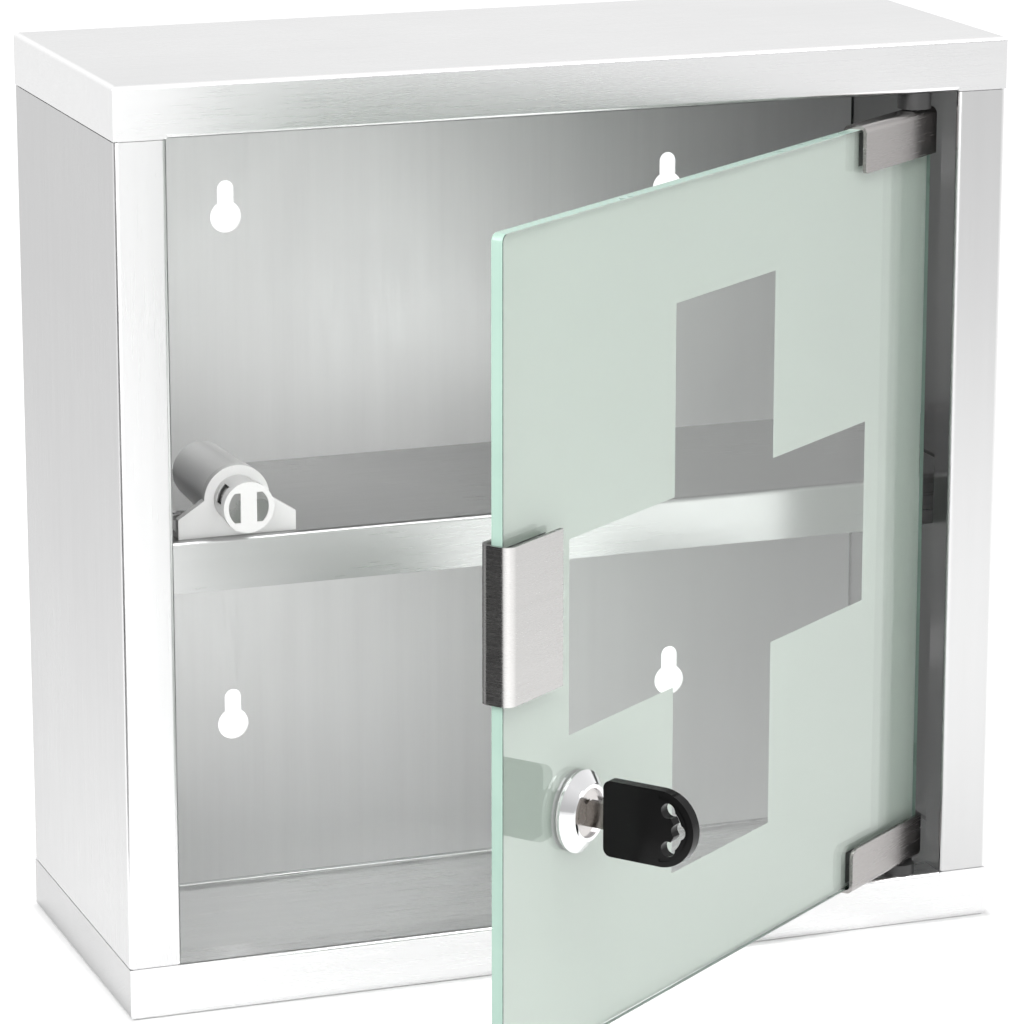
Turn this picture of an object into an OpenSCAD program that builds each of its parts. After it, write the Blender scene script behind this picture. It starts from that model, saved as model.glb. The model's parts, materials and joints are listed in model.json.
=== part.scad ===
// Lockable wall cabinet for medicines: folded stainless sheet, one shelf, and an
// inset glass door on two pivot clamps, with a cam lock, its key and a magnetic push catch.
// Front faces -Y, the wall side is +Y, and the origin is the middle of the base underside.

/* [Cabinet] */
// Overall width
cab_w = 300; // [260:10:420]
// Overall height
cab_h = 300; // [280:10:460]
// Overall depth
cab_d = 120; // [110:5:180]
// Thickness of the folded sheet
sheet = 1; // [0.8:0.1:1.2]
// Outer radius of every fold
fold_r = 1.5; // [1.4:0.1:2]
// Width of the frame round the door opening
rail_w = 17; // [15:1:24]
// Depth that the frame folds back into the opening
return_d = 12; // [12:0.5:15]
// Width of the flanges turned in at the back
rear_flange = 12; // [8:1:20]
// Lap of the side sheets behind the flanges of the pans
lap = 3; // [2:0.5:6]
// Gap at each butt seam
seam = 0.3; // [0.2:0.1:0.5]

/* [Shelf] */
// Height of the shelf's top face
shelf_z = 150; // [145:1:155]
// Distance from the cabinet's front to the shelf's lip
shelf_set = 22; // [20:1:26]
// Height of the shelf's lip
shelf_lip = 17; // [12:1:20]

/* [Wall fixing] */
// Spacing of the keyholes across
keyhole_dx = 159; // [120:1:180]
// Spacing of the keyholes up the panel
keyhole_dz = 176.7; // [170:0.1:180]
// Height of the lower keyholes
keyhole_z = 58; // [50:1:62]
// Diameter of the keyhole's head
keyhole_d = 10.8; // [9:0.1:12]
// Width of the keyhole's slot
keyhole_slot = 5.8; // [5:0.1:6]
// Rise from the head's centre to the top of the slot
keyhole_rise = 12.3; // [11:0.1:15]

/* [Door] */
// Angle at which the door stands open
open_angle = 37; // [0:1:73]
// Distance from the side of the opening to the pivot
pivot_in = 13; // [12:0.5:16]
// Thickness of the glass
glass_t = 4; // [3:0.5:5]
// Gap between the glass and the sides of the opening
glass_side_gap = 4.5; // [4:0.1:5]
// Gap under the glass
glass_bottom_gap = 5; // [4.6:0.1:7]
// Gap over the glass
glass_top_gap = 7; // [5:0.1:9]
// Radius of the glass corners
glass_corner = 2.5; // [1:0.5:5]

/* [Pivot clamps] */
// Length of a clamp along the door
clamp_l = 47.5; // [40:0.5:60]
// Height of a clamp's cheeks
clamp_h = 15.2; // [13:0.2:18]
// Thickness of the clamp's plate
clamp_t = 1.2; // [1:0.1:1.5]
// Thickness of the rubber pads in a clamp
clamp_pad = 1; // [0.8:0.1:1.2]
// Radius of the lower clamp's free corner
clamp_corner = 3.5; // [2:0.5:5]
// Diameter of the pivot pin
pin_d = 5; // [4:0.1:5.5]
// Length of the pin that stands out of the clamp
pin_l = 9; // [8:0.5:10]
// Diameter of the bush's collar
bush_d = 11; // [10.5:0.1:11.5]
// Diameter of the bush's spigot
bush_neck = 7.6; // [7.4:0.1:8]

/* [Handle] */
// Length of the handle up the door
handle_l = 47.5; // [40:0.5:60]
// Height of the handle's centre
handle_z = 161.8; // [158:0.1:166]
// Width of the handle's cheeks
handle_w = 28.5; // [24:0.5:32]
// Thickness over both cheeks
handle_t = 11; // [10:0.1:11]
// Thickness of the handle's plate
handle_plate = 1.2; // [1:0.1:1.5]
// Outer radius of the handle's folds
handle_r = 3.2; // [2.5:0.1:4]

/* [Lock and key] */
// Distance from the free edge to the lock's axis
lock_in = 41; // [38:0.5:42]
// Height of the lock's axis
lock_z = 95.4; // [88:0.1:104]
// Diameter of the lock's bevelled ring
ring_d = 25.2; // [24:0.1:28]
// Diameter of the threaded barrel
barrel_d = 18; // [17:0.1:19]
// Diameter of the plug
plug_d = 14; // [13:0.1:14.4]
// How far the ring stands in front of the glass
ring_out = 4.6; // [4:0.1:5.5]
// Reach of the cam from the lock's axis
cam_reach = 51.5; // [51:0.1:54]
// Width of the cam
cam_w = 14; // [12:0.5:16]
// Thickness of the cam
cam_t = 2; // [1.5:0.1:2.2]
// Length of the key's bow
bow_l = 31; // [28:0.5:34]
// Height of the key's bow
bow_h = 23.5; // [21:0.5:25]
// Thickness of the key's bow
bow_t = 3.6; // [3.2:0.1:4]
// Distance from the middle of the glass to the bow
bow_out = 12; // [11:0.5:14]
// Height of the key's blade
blade_h = 8; // [7:0.1:8.2]
// Thickness of the key's blade
blade_t = 2; // [1.8:0.1:2.2]

/* [Catch] */
// Distance from the inside of the left frame to the catch's axis
catch_in = 28; // [26:0.5:30]
// Rise of the catch's axis above the shelf
catch_rise = 12; // [11.5:0.1:14]
// Diameter of the catch's barrel at its front
catch_d = 21.6; // [21:0.1:22.4]
// Diameter of the catch's barrel at its rear
catch_tail_d = 19.4; // [19.2:0.1:20]
// Length of the catch's barrel
catch_l = 37; // [35:1:46]
// Diameter of the plunger's head
head_d = 16.5; // [16.2:0.1:18]
// Diameter of the plunger's stem
stem_d = 15.2; // [15:0.1:15.4]
// Travel of the plunger
catch_travel = 5; // [3:0.5:6]

/* [Fits] */
// Clearance round a pivot or a turning plug
run_fit = 0.05; // [0.03:0.01:0.08]
// Clearance round a piece that is seated in another
seat_fit = 0.05; // [0.03:0.01:0.08]
// Gap between a moving piece and its neighbour
gap = 0.3; // [0.2:0.05:0.4]

/* [Hidden] */
$fn = 64;

steel_colour = [0.86, 0.87, 0.88];
bright_colour = [0.78, 0.79, 0.80];
brushed_colour = [0.60, 0.58, 0.57];
dark_steel_colour = [0.42, 0.42, 0.43];
glass_colour = [0.78, 0.90, 0.84, 0.6];
black_colour = [0.06, 0.06, 0.06];
white_colour = [0.93, 0.94, 0.93];
rubber_colour = [0.30, 0.31, 0.30];

// Cabinet
half_w = cab_w / 2;
front_y = -cab_d / 2;
back_y = cab_d / 2;
open_x = half_w - rail_w;
open_top = cab_h - rail_w;
mid_sheet = sheet / 2;
fold_mid = fold_r - mid_sheet;
side_low = rail_w + seam;
side_high = cab_h - side_low;
panel_y = back_y - 2 * sheet;
shelf_y = front_y + shelf_set;
over = 1;

// Door, in its own frame: origin on the pivot axis, free edge towards -X, front towards -Y
pivot_x = open_x - pivot_in;
pivot_y = front_y + return_d / 2;
glass_low = rail_w + glass_bottom_gap;
glass_high = open_top - glass_top_gap;
glass_right = pivot_in - glass_side_gap;
glass_left = glass_side_gap - open_x - pivot_x;
clamp_half = glass_t / 2 + clamp_pad + clamp_t;
clamp_inset = 0.5;
clamp_right = glass_right - clamp_inset;
clamp_r = 2 * clamp_t;
clamp_low = glass_low - clamp_t;
clamp_high = glass_high + clamp_t;
bush_bore = pin_d + 2 * run_fit;
bush_tail = 5;
stake_d = 3.6;
grub_d = 4;
grub_key = 2;
grub_depth = 1.2;
grub_proud = 0.8;
clamp_grub_x = [6, 32];
clamp_grub_rise = 9.5;

// Handle
handle_edge_gap = 0.3;
handle_left = glass_left - handle_edge_gap - handle_plate;
handle_pad = (handle_t - glass_t) / 2 - handle_plate;
handle_grub_in = 17;
handle_grub_dz = 13;
handle_grub_sink = 0.1;
pad_margin = 1.5;

// Lock, on its own axis: front towards -Y, the middle of the glass at 0
lock_x = glass_left + lock_in;
gasket_t = 0.6;
nut_t = 4.8;
nut_af = 24;
glass_hole_d = barrel_d + 1;
ring_front = -glass_t / 2 - ring_out;
ring_edge = 0.8;
nut_end = 1;
barrel_rear = glass_t / 2 + gasket_t + nut_t + nut_end;
ring_bevel = 0.3;
gasket_inset = 0.4;
head_seat = 1.5;
plug_head_step = 0.5;
plug_head_d = plug_d + 2 * plug_head_step;
plug_recess = 1;
plug_front = ring_front + plug_recess;
cam_seat = barrel_rear + gap;
cam_square = 8;
cam_screw_d = 4;
cam_screw_head = 9;
cam_screw_depth = 3;
cam_screw_head_h = 2.2;
cam_hub_rim = 2;
key_in = 10.6;
key_tip = plug_front + key_in;
keyway_rest = 0.4;
keyway_end = key_tip + keyway_rest;
blade_in_bow = 5;
bow_corner = 2.5;
bow_groove = 0.4;

// Catch, on its own axis: front towards -Y
catch_x = catch_in - open_x;
catch_z = shelf_z + catch_rise;
catch_face = pivot_y + handle_t / 2 + gap;
head_t = 3.5;
stem_show = 4.5;
collar_front = catch_face + head_t + catch_travel + stem_show;
collar_t = 3;
barrel_front = collar_front + collar_t;
barrel_wall = 1;
barrel_bore = catch_tail_d - 2 * barrel_wall;
shoulder_d = barrel_bore - 2 * gap;
shoulder_t = 2;
shoulder_front = barrel_front + 2 * seat_fit;
stem_tail = 10;
stem_end = shoulder_front + shoulder_t + stem_tail;
spring_d = 9;
spring_wire = 1;
spring_turns = 7;
pole_flat = 2.7;
pole_recess = 0.4;
pole_r = 6.6;
pole_half = 4.8;
pole_l = 12;
window_turn = 26;
foot_w = 39;
foot_t = 2;
foot_l = 26;
foot_end = 6.4;
foot_inner = 9.6;
catch_screw_dx = 15.5;
catch_screw_d = 3;
catch_screw_head = 5.6;
catch_screw_head_h = 1.6;
catch_screw_back = 17;

// Unit vector from one corner to the next
function heading(a, b) = (b - a) / norm(b - a);

// Rectangle standing on y = 0, with its two lower corners rounded
module round_bottom(w, h, r) {
    translate([-w / 2, r]) square([w, h - r]);
    translate([r - w / 2, 0]) square([w - 2 * r, r]);
    translate([r - w / 2, r]) circle(r);
    translate([w / 2 - r, r]) circle(r);
}

// Rectangle with four rounded corners, from its lower left corner
module round_rect(w, h, r) {
    translate([r, 0]) square([w - 2 * r, h]);
    translate([0, r]) square([w, h - 2 * r]);
    for (x = [r, w - r], y = [r, h - r]) translate([x, y]) circle(r);
}

// Straight leg of a folded sheet along its middle line
module fold_leg(a, b) {
    dir = heading(a, b);
    side = [-dir.y, dir.x] * mid_sheet;
    polygon([a + side, b + side, b - side, a - side]);
}

// Quarter bend of a folded sheet at a corner of its middle line
module fold_bend(before, corner, after) {
    inward = heading(corner, before) + heading(corner, after);
    reach = fold_r + over;
    translate(corner + fold_mid * inward) intersection() {
        difference() {
            circle(fold_r);
            circle(fold_r - sheet);
        }
        polygon([[0, 0], [-reach * inward.x, 0], -reach * inward, [0, -reach * inward.y]]);
    }
}

// Section of a folded sheet, from the corners of its middle line
module folded(corners) {
    last = len(corners) - 1;
    for (i = [0 : last - 1]) {
        dir = heading(corners[i], corners[i + 1]);
        start = i == 0 ? 0 : fold_mid;
        stop = i == last - 1 ? 0 : fold_mid;
        fold_leg(corners[i] + dir * start, corners[i + 1] - dir * stop);
    }
    for (i = [1 : last - 1]) fold_bend(corners[i - 1], corners[i], corners[i + 1]);
}

// Block with its four lower edges rounded, its plate at z = 0
module tray_block(w, d, h, r) {
    intersection() {
        translate([0, d / 2, 0]) rotate([90, 0, 0]) linear_extrude(d) round_bottom(w, h, r);
        translate([-w / 2, 0, 0]) rotate([90, 0, 90]) linear_extrude(w) round_bottom(d, h, r);
    }
}

// Folded tray: a plate at z = 0 with a flange turned up on all four sides
module tray(w, d, h) {
    difference() {
        tray_block(w, d, h, fold_r);
        translate([0, 0, sheet]) tray_block(w - 2 * sheet, d - 2 * sheet, h, fold_r - sheet);
    }
}

// Pan that closes the bottom of the cabinet, with its front flange folded back into the opening
module pan() {
    flange_y = front_y + mid_sheet;
    return_z = rail_w - mid_sheet;
    start_z = rail_w - 2 * fold_r;
    difference() {
        tray(cab_w, cab_d, rail_w);
        translate([-open_x, front_y - over, start_z]) cube([2 * open_x, over + sheet, rail_w]);
    }
    difference() {
        translate([-open_x, 0, 0]) rotate([90, 0, 90]) linear_extrude(2 * open_x)
            folded([[flange_y, start_z], [flange_y, return_z], [front_y + return_d, return_z]]);
        translate([pivot_x, pivot_y, rail_w - sheet - over]) cylinder(d = bush_neck, h = sheet + 2 * over);
    }
}

// Side sheet on the right, folded round the front frame and the back
module side_sheet() {
    side_x = half_w - mid_sheet;
    lap_x = side_x - sheet;
    front = front_y + mid_sheet;
    back = back_y - mid_sheet;
    translate([0, 0, side_low]) linear_extrude(side_high - side_low)
        folded([[open_x + mid_sheet, front_y + return_d], [open_x + mid_sheet, front],
            [side_x, front], [side_x, back], [half_w - rear_flange, back]]);
    for (z = [sheet, side_high - lap]) translate([0, 0, z]) linear_extrude(side_low + lap - sheet)
        folded([[open_x + sheet, front + sheet], [lap_x, front + sheet], [lap_x, panel_y]]);
}

// Keyhole cut through the back panel, with its head's centre at the origin
module keyhole() {
    slot_r = keyhole_slot / 2;
    rotate([90, 0, 0]) translate([0, 0, -sheet - over]) linear_extrude(sheet + 2 * over) {
        circle(d = keyhole_d);
        translate([-slot_r, 0]) square([keyhole_slot, keyhole_rise - slot_r]);
        translate([0, keyhole_rise - slot_r]) circle(slot_r);
    }
}

// Flanged nylon bush with its collar's free face at z = 0 and its spigot below
module bush(collar) {
    difference() {
        union() {
            translate([0, 0, -collar]) cylinder(d = bush_d, h = collar);
            translate([0, 0, -collar - bush_tail])
                cylinder(d = bush_neck - 2 * seat_fit, h = bush_tail);
        }
        translate([0, 0, -collar - bush_tail - over])
            cylinder(d = bush_bore, h = collar + bush_tail + 2 * over);
    }
}

// Places the door's own frame in the cabinet
module on_door() {
    translate([pivot_x, pivot_y, 0]) rotate([0, 0, open_angle]) children();
}

// Section of a folded U channel, standing on y = 0 and open towards +Y
module channel(w, leg, t, r) {
    difference() {
        round_bottom(w, leg, r);
        translate([0, t]) round_bottom(w - 2 * t, leg, r - t);
    }
}

// Clamp over the lower edge of the glass, with its web's underside at z = 0
module clamp(corner) {
    difference() {
        intersection() {
            translate([clamp_right - clamp_l, 0, 0]) rotate([90, 0, 90]) linear_extrude(clamp_l)
                channel(2 * clamp_half, clamp_h, clamp_t, clamp_r);
            translate([clamp_right - clamp_l, clamp_half + over, 0]) rotate([90, 0, 0])
                linear_extrude(2 * (clamp_half + over)) {
                    translate([corner, 0]) square([clamp_l - corner, clamp_h]);
                    square([clamp_l, clamp_h - corner]);
                    translate([corner, clamp_h - corner]) circle(corner);
                }
        }
        translate([0, 0, -over]) cylinder(d = stake_d, h = clamp_t + 2 * over);
        for (x = clamp_grub_x) translate([-x, 0, clamp_grub_rise]) rotate([-90, 0, 0])
            cylinder(d = grub_d, h = clamp_half + over);
    }
}

// The two rubber pads inside a clamp
module clamp_pads() {
    low = clamp_t + pad_margin;
    high = clamp_h - clamp_corner / 2;
    for (y = [-glass_t / 2 - clamp_pad, glass_t / 2])
        translate([clamp_right - clamp_l + clamp_corner / 2, y, low])
            cube([clamp_l - clamp_corner, clamp_pad, high - low]);
}

// Socket-head grub screw along +Y, with its tip at the origin
module grub(l) {
    rotate([-90, 0, 0]) difference() {
        cylinder(d = grub_d - 2 * seat_fit, h = l);
        translate([0, 0, l - grub_depth]) cylinder(d = grub_key, h = grub_depth + over, $fn = 6);
    }
}

// Screw head on z = 0 with a cross recess half as deep as the head
module cross_head(d, h) {
    slot_l = d / 2;
    slot_w = d / 8;
    difference() {
        cylinder(d = d, h = h);
        for (turn = [0, 90]) rotate([0, 0, turn])
            translate([-slot_l / 2, -slot_w / 2, h / 2]) cube([slot_l, slot_w, h]);
    }
}

// Pivot pin staked in a clamp's web, standing down from z = 0
module pivot_pin() {
    translate([0, 0, -pin_l]) cylinder(d = pin_d, h = pin_l);
    cylinder(d = stake_d - 2 * seat_fit, h = clamp_t);
}

// Places the clamps' parts at the foot or, turned over, at the head of the door
module at_foot() {
    on_door() translate([0, 0, clamp_low]) children();
}

module at_head() {
    on_door() translate([0, 0, clamp_high]) mirror([0, 0, 1]) children();
}

// Turns a revolved section so that its axis is the lock's, with its height along +Y
module on_lock() {
    on_door() translate([lock_x, 0, lock_z]) rotate([-90, 0, 0]) children();
}

// Puts something on the catch's axis, with its height along +Y
module on_catch() {
    translate([catch_x, 0, catch_z]) rotate([-90, 0, 0]) children();
}

// Ring of points round a coil spring's wire at a share of its length
function coil_ring(share, turns, r, wire, length, sides) = [
    for (k = [0 : sides - 1])
        let (turn = 360 * turns * share, a = 360 * k / sides, out = r + wire * cos(a) / 2)
            [out * cos(turn), out * sin(turn), length * share + wire * sin(a) / 2]
];

// Compression spring along +Z, from z = 0 to its length
module coil(turns, r, wire, length, sides = 8, steps = 16) {
    rings = turns * steps;
    points = [for (i = [0 : rings]) each coil_ring(i / rings, turns, r, wire, length, sides)];
    walls = [for (i = [0 : rings - 1], k = [0 : sides - 1])
        let (a = i * sides + k, b = i * sides + (k + 1) % sides)
            each [[a, b, b + sides], [a, b + sides, a + sides]]];
    first = [[for (k = [sides - 1 : -1 : 0]) k]];
    final = [[for (k = [0 : sides - 1]) rings * sides + k]];
    polyhedron(points, concat(walls, first, final));
}

module bottom_pan() {
    color(steel_colour) pan();
}

module top_pan() {
    color(steel_colour) translate([0, 0, cab_h]) mirror([0, 0, 1]) pan();
}

module right_side() {
    color(steel_colour) side_sheet();
}

module left_side() {
    color(steel_colour) mirror([1, 0, 0]) side_sheet();
}

module back_panel() {
    w = cab_w - 2 * fold_r;
    color(steel_colour) difference() {
        translate([-w / 2, panel_y, sheet + fold_r]) cube([w, sheet, cab_h - 2 * (sheet + fold_r)]);
        for (x = [-keyhole_dx / 2, keyhole_dx / 2], z = [keyhole_z, keyhole_z + keyhole_dz])
            translate([x, panel_y, z]) keyhole();
    }
}

module shelf() {
    depth = panel_y - shelf_y;
    color(bright_colour) translate([0, shelf_y + depth / 2, shelf_z]) mirror([0, 0, 1])
        tray(cab_w - 2 * sheet, depth, shelf_lip);
}

module bottom_bush() {
    collar = clamp_low - gap - rail_w;
    color(black_colour) translate([pivot_x, pivot_y, clamp_low - gap]) bush(collar);
}

module top_bush() {
    collar = open_top - clamp_high - gap;
    color(black_colour) translate([pivot_x, pivot_y, clamp_high + gap]) mirror([0, 0, 1]) bush(collar);
}

// White moulding that holds the catch: a flared front plate whose collar guides the plunger, and
// a screwed foot on each side of the barrel
module catch_foot() {
    half = foot_w / 2;
    collar_r = catch_d / 2;
    wing = half - foot_inner;
    color(white_colour) difference() {
        union() {
            on_catch() translate([0, 0, collar_front]) cylinder(r = collar_r, h = collar_t);
            translate([catch_x, barrel_front, shelf_z]) rotate([90, 0, 0]) linear_extrude(collar_t)
                polygon([[-half, 0], [half, 0], [half, foot_end], [collar_r, catch_rise],
                    [-collar_r, catch_rise], [-half, foot_end]]);
            for (x = [-half, foot_inner]) translate([catch_x + x, barrel_front - over, shelf_z])
                cube([wing, foot_l + over, foot_t]);
        }
        on_catch() translate([0, 0, collar_front - over])
            cylinder(d = stem_d + 2 * run_fit, h = collar_t + 2 * over);
        for (side = [-1, 1]) translate([catch_x + side * catch_screw_dx,
            barrel_front + catch_screw_back, shelf_z - over])
            cylinder(d = catch_screw_d + 2 * seat_fit, h = foot_t + 2 * over);
    }
}

module catch_barrel() {
    color(brushed_colour) on_catch() translate([0, 0, barrel_front]) difference() {
        cylinder(d1 = catch_d, d2 = catch_tail_d, h = catch_l);
        translate([0, 0, -over]) cylinder(d = barrel_bore, h = catch_l - barrel_wall + over);
    }
}

// Screws through the foot into the shelf's plate
module catch_screws() {
    color(bright_colour) for (side = [-1, 1])
        translate([catch_x + side * catch_screw_dx, barrel_front + catch_screw_back, shelf_z]) {
            cylinder(d = catch_screw_d, h = foot_t);
            translate([0, 0, foot_t]) cross_head(catch_screw_head, catch_screw_head_h);
        }
}

module catch_spring() {
    length = barrel_front + catch_l - barrel_wall - stem_end - spring_wire - 2 * seat_fit;
    color(bright_colour) on_catch() translate([0, 0, stem_end + spring_wire / 2 + seat_fit])
        coil(spring_turns, spring_d / 2, spring_wire, length);
}

// Outline of a pole plate, a D whose flat faces the catch's axis
module pole_outline(clear) {
    intersection() {
        circle(pole_r + clear);
        translate([pole_flat - clear, -pole_half - clear]) square([pole_r, 2 * (pole_half + clear)]);
    }
}

module catch_plunger() {
    window = [2.4, 6.4, 7];
    color(white_colour) on_catch() difference() {
        union() {
            translate([0, 0, catch_face]) cylinder(d = head_d, h = head_t);
            translate([0, 0, catch_face]) cylinder(d = stem_d, h = stem_end - catch_face);
            translate([0, 0, shoulder_front]) cylinder(d = shoulder_d, h = shoulder_t);
        }
        for (turn = [0, 180]) rotate([0, 0, turn]) translate([0, 0, catch_face - over])
            linear_extrude(pole_l + seat_fit + over) pole_outline(seat_fit);
        translate([-pole_flat - over, -pole_half - seat_fit, catch_face + head_t])
            cube([2 * (pole_flat + over), 2 * (pole_half + seat_fit), pole_l - head_t + seat_fit]);
        rotate([0, 0, window_turn]) translate([-stem_d / 2 - over, -window.y / 2, catch_face + head_t])
            cube([window.x + over, window.y, window.z]);
    }
}

module pole_plates() {
    color(dark_steel_colour) on_catch() for (turn = [0, 180]) rotate([0, 0, turn])
        translate([0, 0, catch_face + pole_recess]) linear_extrude(pole_l - pole_recess) pole_outline(0);
}

module catch_magnet() {
    w = 2 * (pole_flat - seat_fit);
    color(black_colour) on_catch()
        translate([-w / 2, -pole_half, catch_face + head_t + seat_fit])
            cube([w, 2 * pole_half, pole_l - head_t - seat_fit]);
}

module door_glass() {
    w = glass_right - glass_left;
    h = glass_high - glass_low;
    color(glass_colour) on_door() difference() {
        translate([glass_left, glass_t / 2, glass_low]) rotate([90, 0, 0])
            linear_extrude(glass_t) round_rect(w, h, glass_corner);
        translate([lock_x, glass_t, lock_z]) rotate([90, 0, 0]) cylinder(d = glass_hole_d, h = 2 * glass_t);
    }
}

module bottom_clamp() {
    color(brushed_colour) at_foot() clamp(clamp_corner);
}

module top_clamp() {
    color(brushed_colour) at_head() clamp(clamp_t);
}

module bottom_clamp_pads() {
    color(rubber_colour) at_foot() clamp_pads();
}

module top_clamp_pads() {
    color(rubber_colour) at_head() clamp_pads();
}

module clamp_grubs() {
    tip = glass_t / 2 + clamp_pad;
    for (x = clamp_grub_x) translate([-x, tip, clamp_grub_rise]) grub(clamp_t + grub_proud);
}

module clamp_screws() {
    color(dark_steel_colour) {
        at_foot() clamp_grubs();
        at_head() clamp_grubs();
    }
}

module bottom_pin() {
    color(bright_colour) at_foot() pivot_pin();
}

module top_pin() {
    color(bright_colour) at_head() pivot_pin();
}

// U clip folded round the free edge of the glass
module handle_clip() {
    color(brushed_colour) on_door() difference() {
        translate([handle_left, 0, handle_z - handle_l / 2]) linear_extrude(handle_l) rotate([0, 0, -90])
            channel(handle_t, handle_w, handle_plate, handle_r);
        for (side = [-1, 1])
            translate([handle_left + handle_grub_in, 0, handle_z + side * handle_grub_dz])
                rotate([-90, 0, 0]) cylinder(d = grub_d, h = handle_t);
    }
}

module handle_pads() {
    inner = handle_t / 2 - handle_plate;
    length = handle_w - handle_plate - handle_r - pad_margin;
    color(rubber_colour) on_door() for (y = [-inner, glass_t / 2])
        translate([handle_left + handle_plate + handle_r, y, handle_z - handle_l / 2 + pad_margin])
            cube([length, handle_pad, handle_l - 2 * pad_margin]);
}

module handle_screws() {
    tip = handle_t / 2 - handle_plate;
    color(dark_steel_colour) on_door() for (side = [-1, 1])
        translate([handle_left + handle_grub_in, tip, handle_z + side * handle_grub_dz])
            grub(handle_plate - handle_grub_sink);
}

// Bevelled ring and threaded barrel of the cam lock
module lock_housing() {
    ring_r = ring_d / 2;
    barrel_r = barrel_d / 2;
    seat = -glass_t / 2 - gasket_t;
    head_end = plug_front + head_seat;
    bore_r = plug_d / 2 + run_fit;
    head_r = plug_head_d / 2 + run_fit;
    color(bright_colour) on_lock() rotate_extrude()
        polygon([[head_r, ring_front], [barrel_r - ring_bevel, ring_front],
            [barrel_r, ring_front + ring_bevel],
            [ring_r, seat - ring_edge], [ring_r, seat], [barrel_r, seat], [barrel_r, barrel_rear],
            [bore_r, barrel_rear], [bore_r, head_end], [head_r, head_end]]);
}

// Washers between the lock and both faces of the glass
module lock_gaskets() {
    bore_r = barrel_d / 2 + seat_fit;
    color(white_colour) on_lock() for (low = [-glass_t / 2 - gasket_t, glass_t / 2])
        translate([0, 0, low]) rotate_extrude()
            translate([bore_r, 0]) square([ring_d / 2 - gasket_inset - bore_r, gasket_t]);
}

module lock_nut() {
    color(bright_colour) on_lock() translate([0, 0, glass_t / 2 + gasket_t]) difference() {
        cylinder(d = nut_af / cos(30), h = nut_t, $fn = 6);
        translate([0, 0, -over]) cylinder(d = barrel_d + 2 * seat_fit, h = nut_t + 2 * over);
    }
}

// Plug that the key turns, with a square tail for the cam
module lock_plug() {
    slot_t = blade_t + 2 * seat_fit;
    slot_h = blade_h + 2 * seat_fit;
    color(bright_colour) on_lock() difference() {
        union() {
            translate([0, 0, plug_front]) cylinder(d = plug_head_d, h = head_seat - seat_fit);
            translate([0, 0, plug_front]) cylinder(d = plug_d, h = cam_seat - plug_front);
            translate([-cam_square / 2, -cam_square / 2, cam_seat - over])
                cube([cam_square, cam_square, cam_t + over]);
        }
        translate([-slot_t / 2, -slot_h / 2, plug_front - over])
            cube([slot_t, slot_h, keyway_end - plug_front + over]);
        translate([0, 0, cam_seat + cam_t - cam_screw_depth])
            cylinder(d = cam_screw_d + 2 * seat_fit, h = cam_screw_depth + over);
    }
}

// Cam on the plug's tail, hanging down while the lock is open
module lock_cam() {
    square_w = cam_square + 2 * seat_fit;
    color(bright_colour) on_lock() translate([0, 0, cam_seat]) linear_extrude(cam_t) difference() {
        union() {
            circle(cam_w / 2 + cam_hub_rim);
            translate([-cam_w / 2, 0]) square([cam_w, cam_reach - cam_w / 2]);
            translate([0, cam_reach - cam_w / 2]) circle(cam_w / 2);
        }
        translate([-square_w / 2, -square_w / 2]) square(square_w);
    }
}

module cam_screw() {
    seat = cam_seat + cam_t;
    shank = cam_screw_depth - seat_fit;
    color(dark_steel_colour) on_lock() {
        translate([0, 0, seat - shank]) cylinder(d = cam_screw_d, h = shank);
        translate([0, 0, seat]) cross_head(cam_screw_head, cam_screw_head_h);
    }
}

// Flat blade with cuts for the lock's tumblers along its upper edge
module key_blade() {
    half = blade_h / 2;
    tail = -bow_out - blade_in_bow;
    cuts = [1.4, 0.8, 1.8, 1.1];
    pitch = 2.4;
    color(bright_colour) on_lock() rotate([90, 0, 90]) translate([0, 0, -blade_t / 2])
        linear_extrude(blade_t) difference() {
            polygon([[-half, tail], [half, tail], [half, key_tip - half / 2], [half / 2, key_tip],
                [-half / 2, key_tip], [-half, key_tip - half / 2]]);
            for (i = [0 : len(cuts) - 1]) let (y = key_tip - half / 2 - pitch * (i + 0.5))
                polygon([[-half - over, y - pitch / 2], [-half, y - pitch / 2],
                    [cuts[i] - half, y - pitch / 6], [cuts[i] - half, y + pitch / 6],
                    [-half, y + pitch / 2], [-half - over, y + pitch / 2]]);
        }
}

// Outline of the key's bow: a flat edge towards the lock and a round end, along -Y
module bow_outline() {
    r = bow_h / 2;
    straight = bow_l - r;
    corner_x = r - bow_corner;
    translate([0, -straight]) circle(r);
    translate([-r, -straight]) square([bow_h, straight - bow_corner]);
    translate([-corner_x, -bow_corner]) square([2 * corner_x, bow_corner]);
    for (x = [-corner_x, corner_x]) translate([x, -bow_corner]) circle(bow_corner);
}

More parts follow.
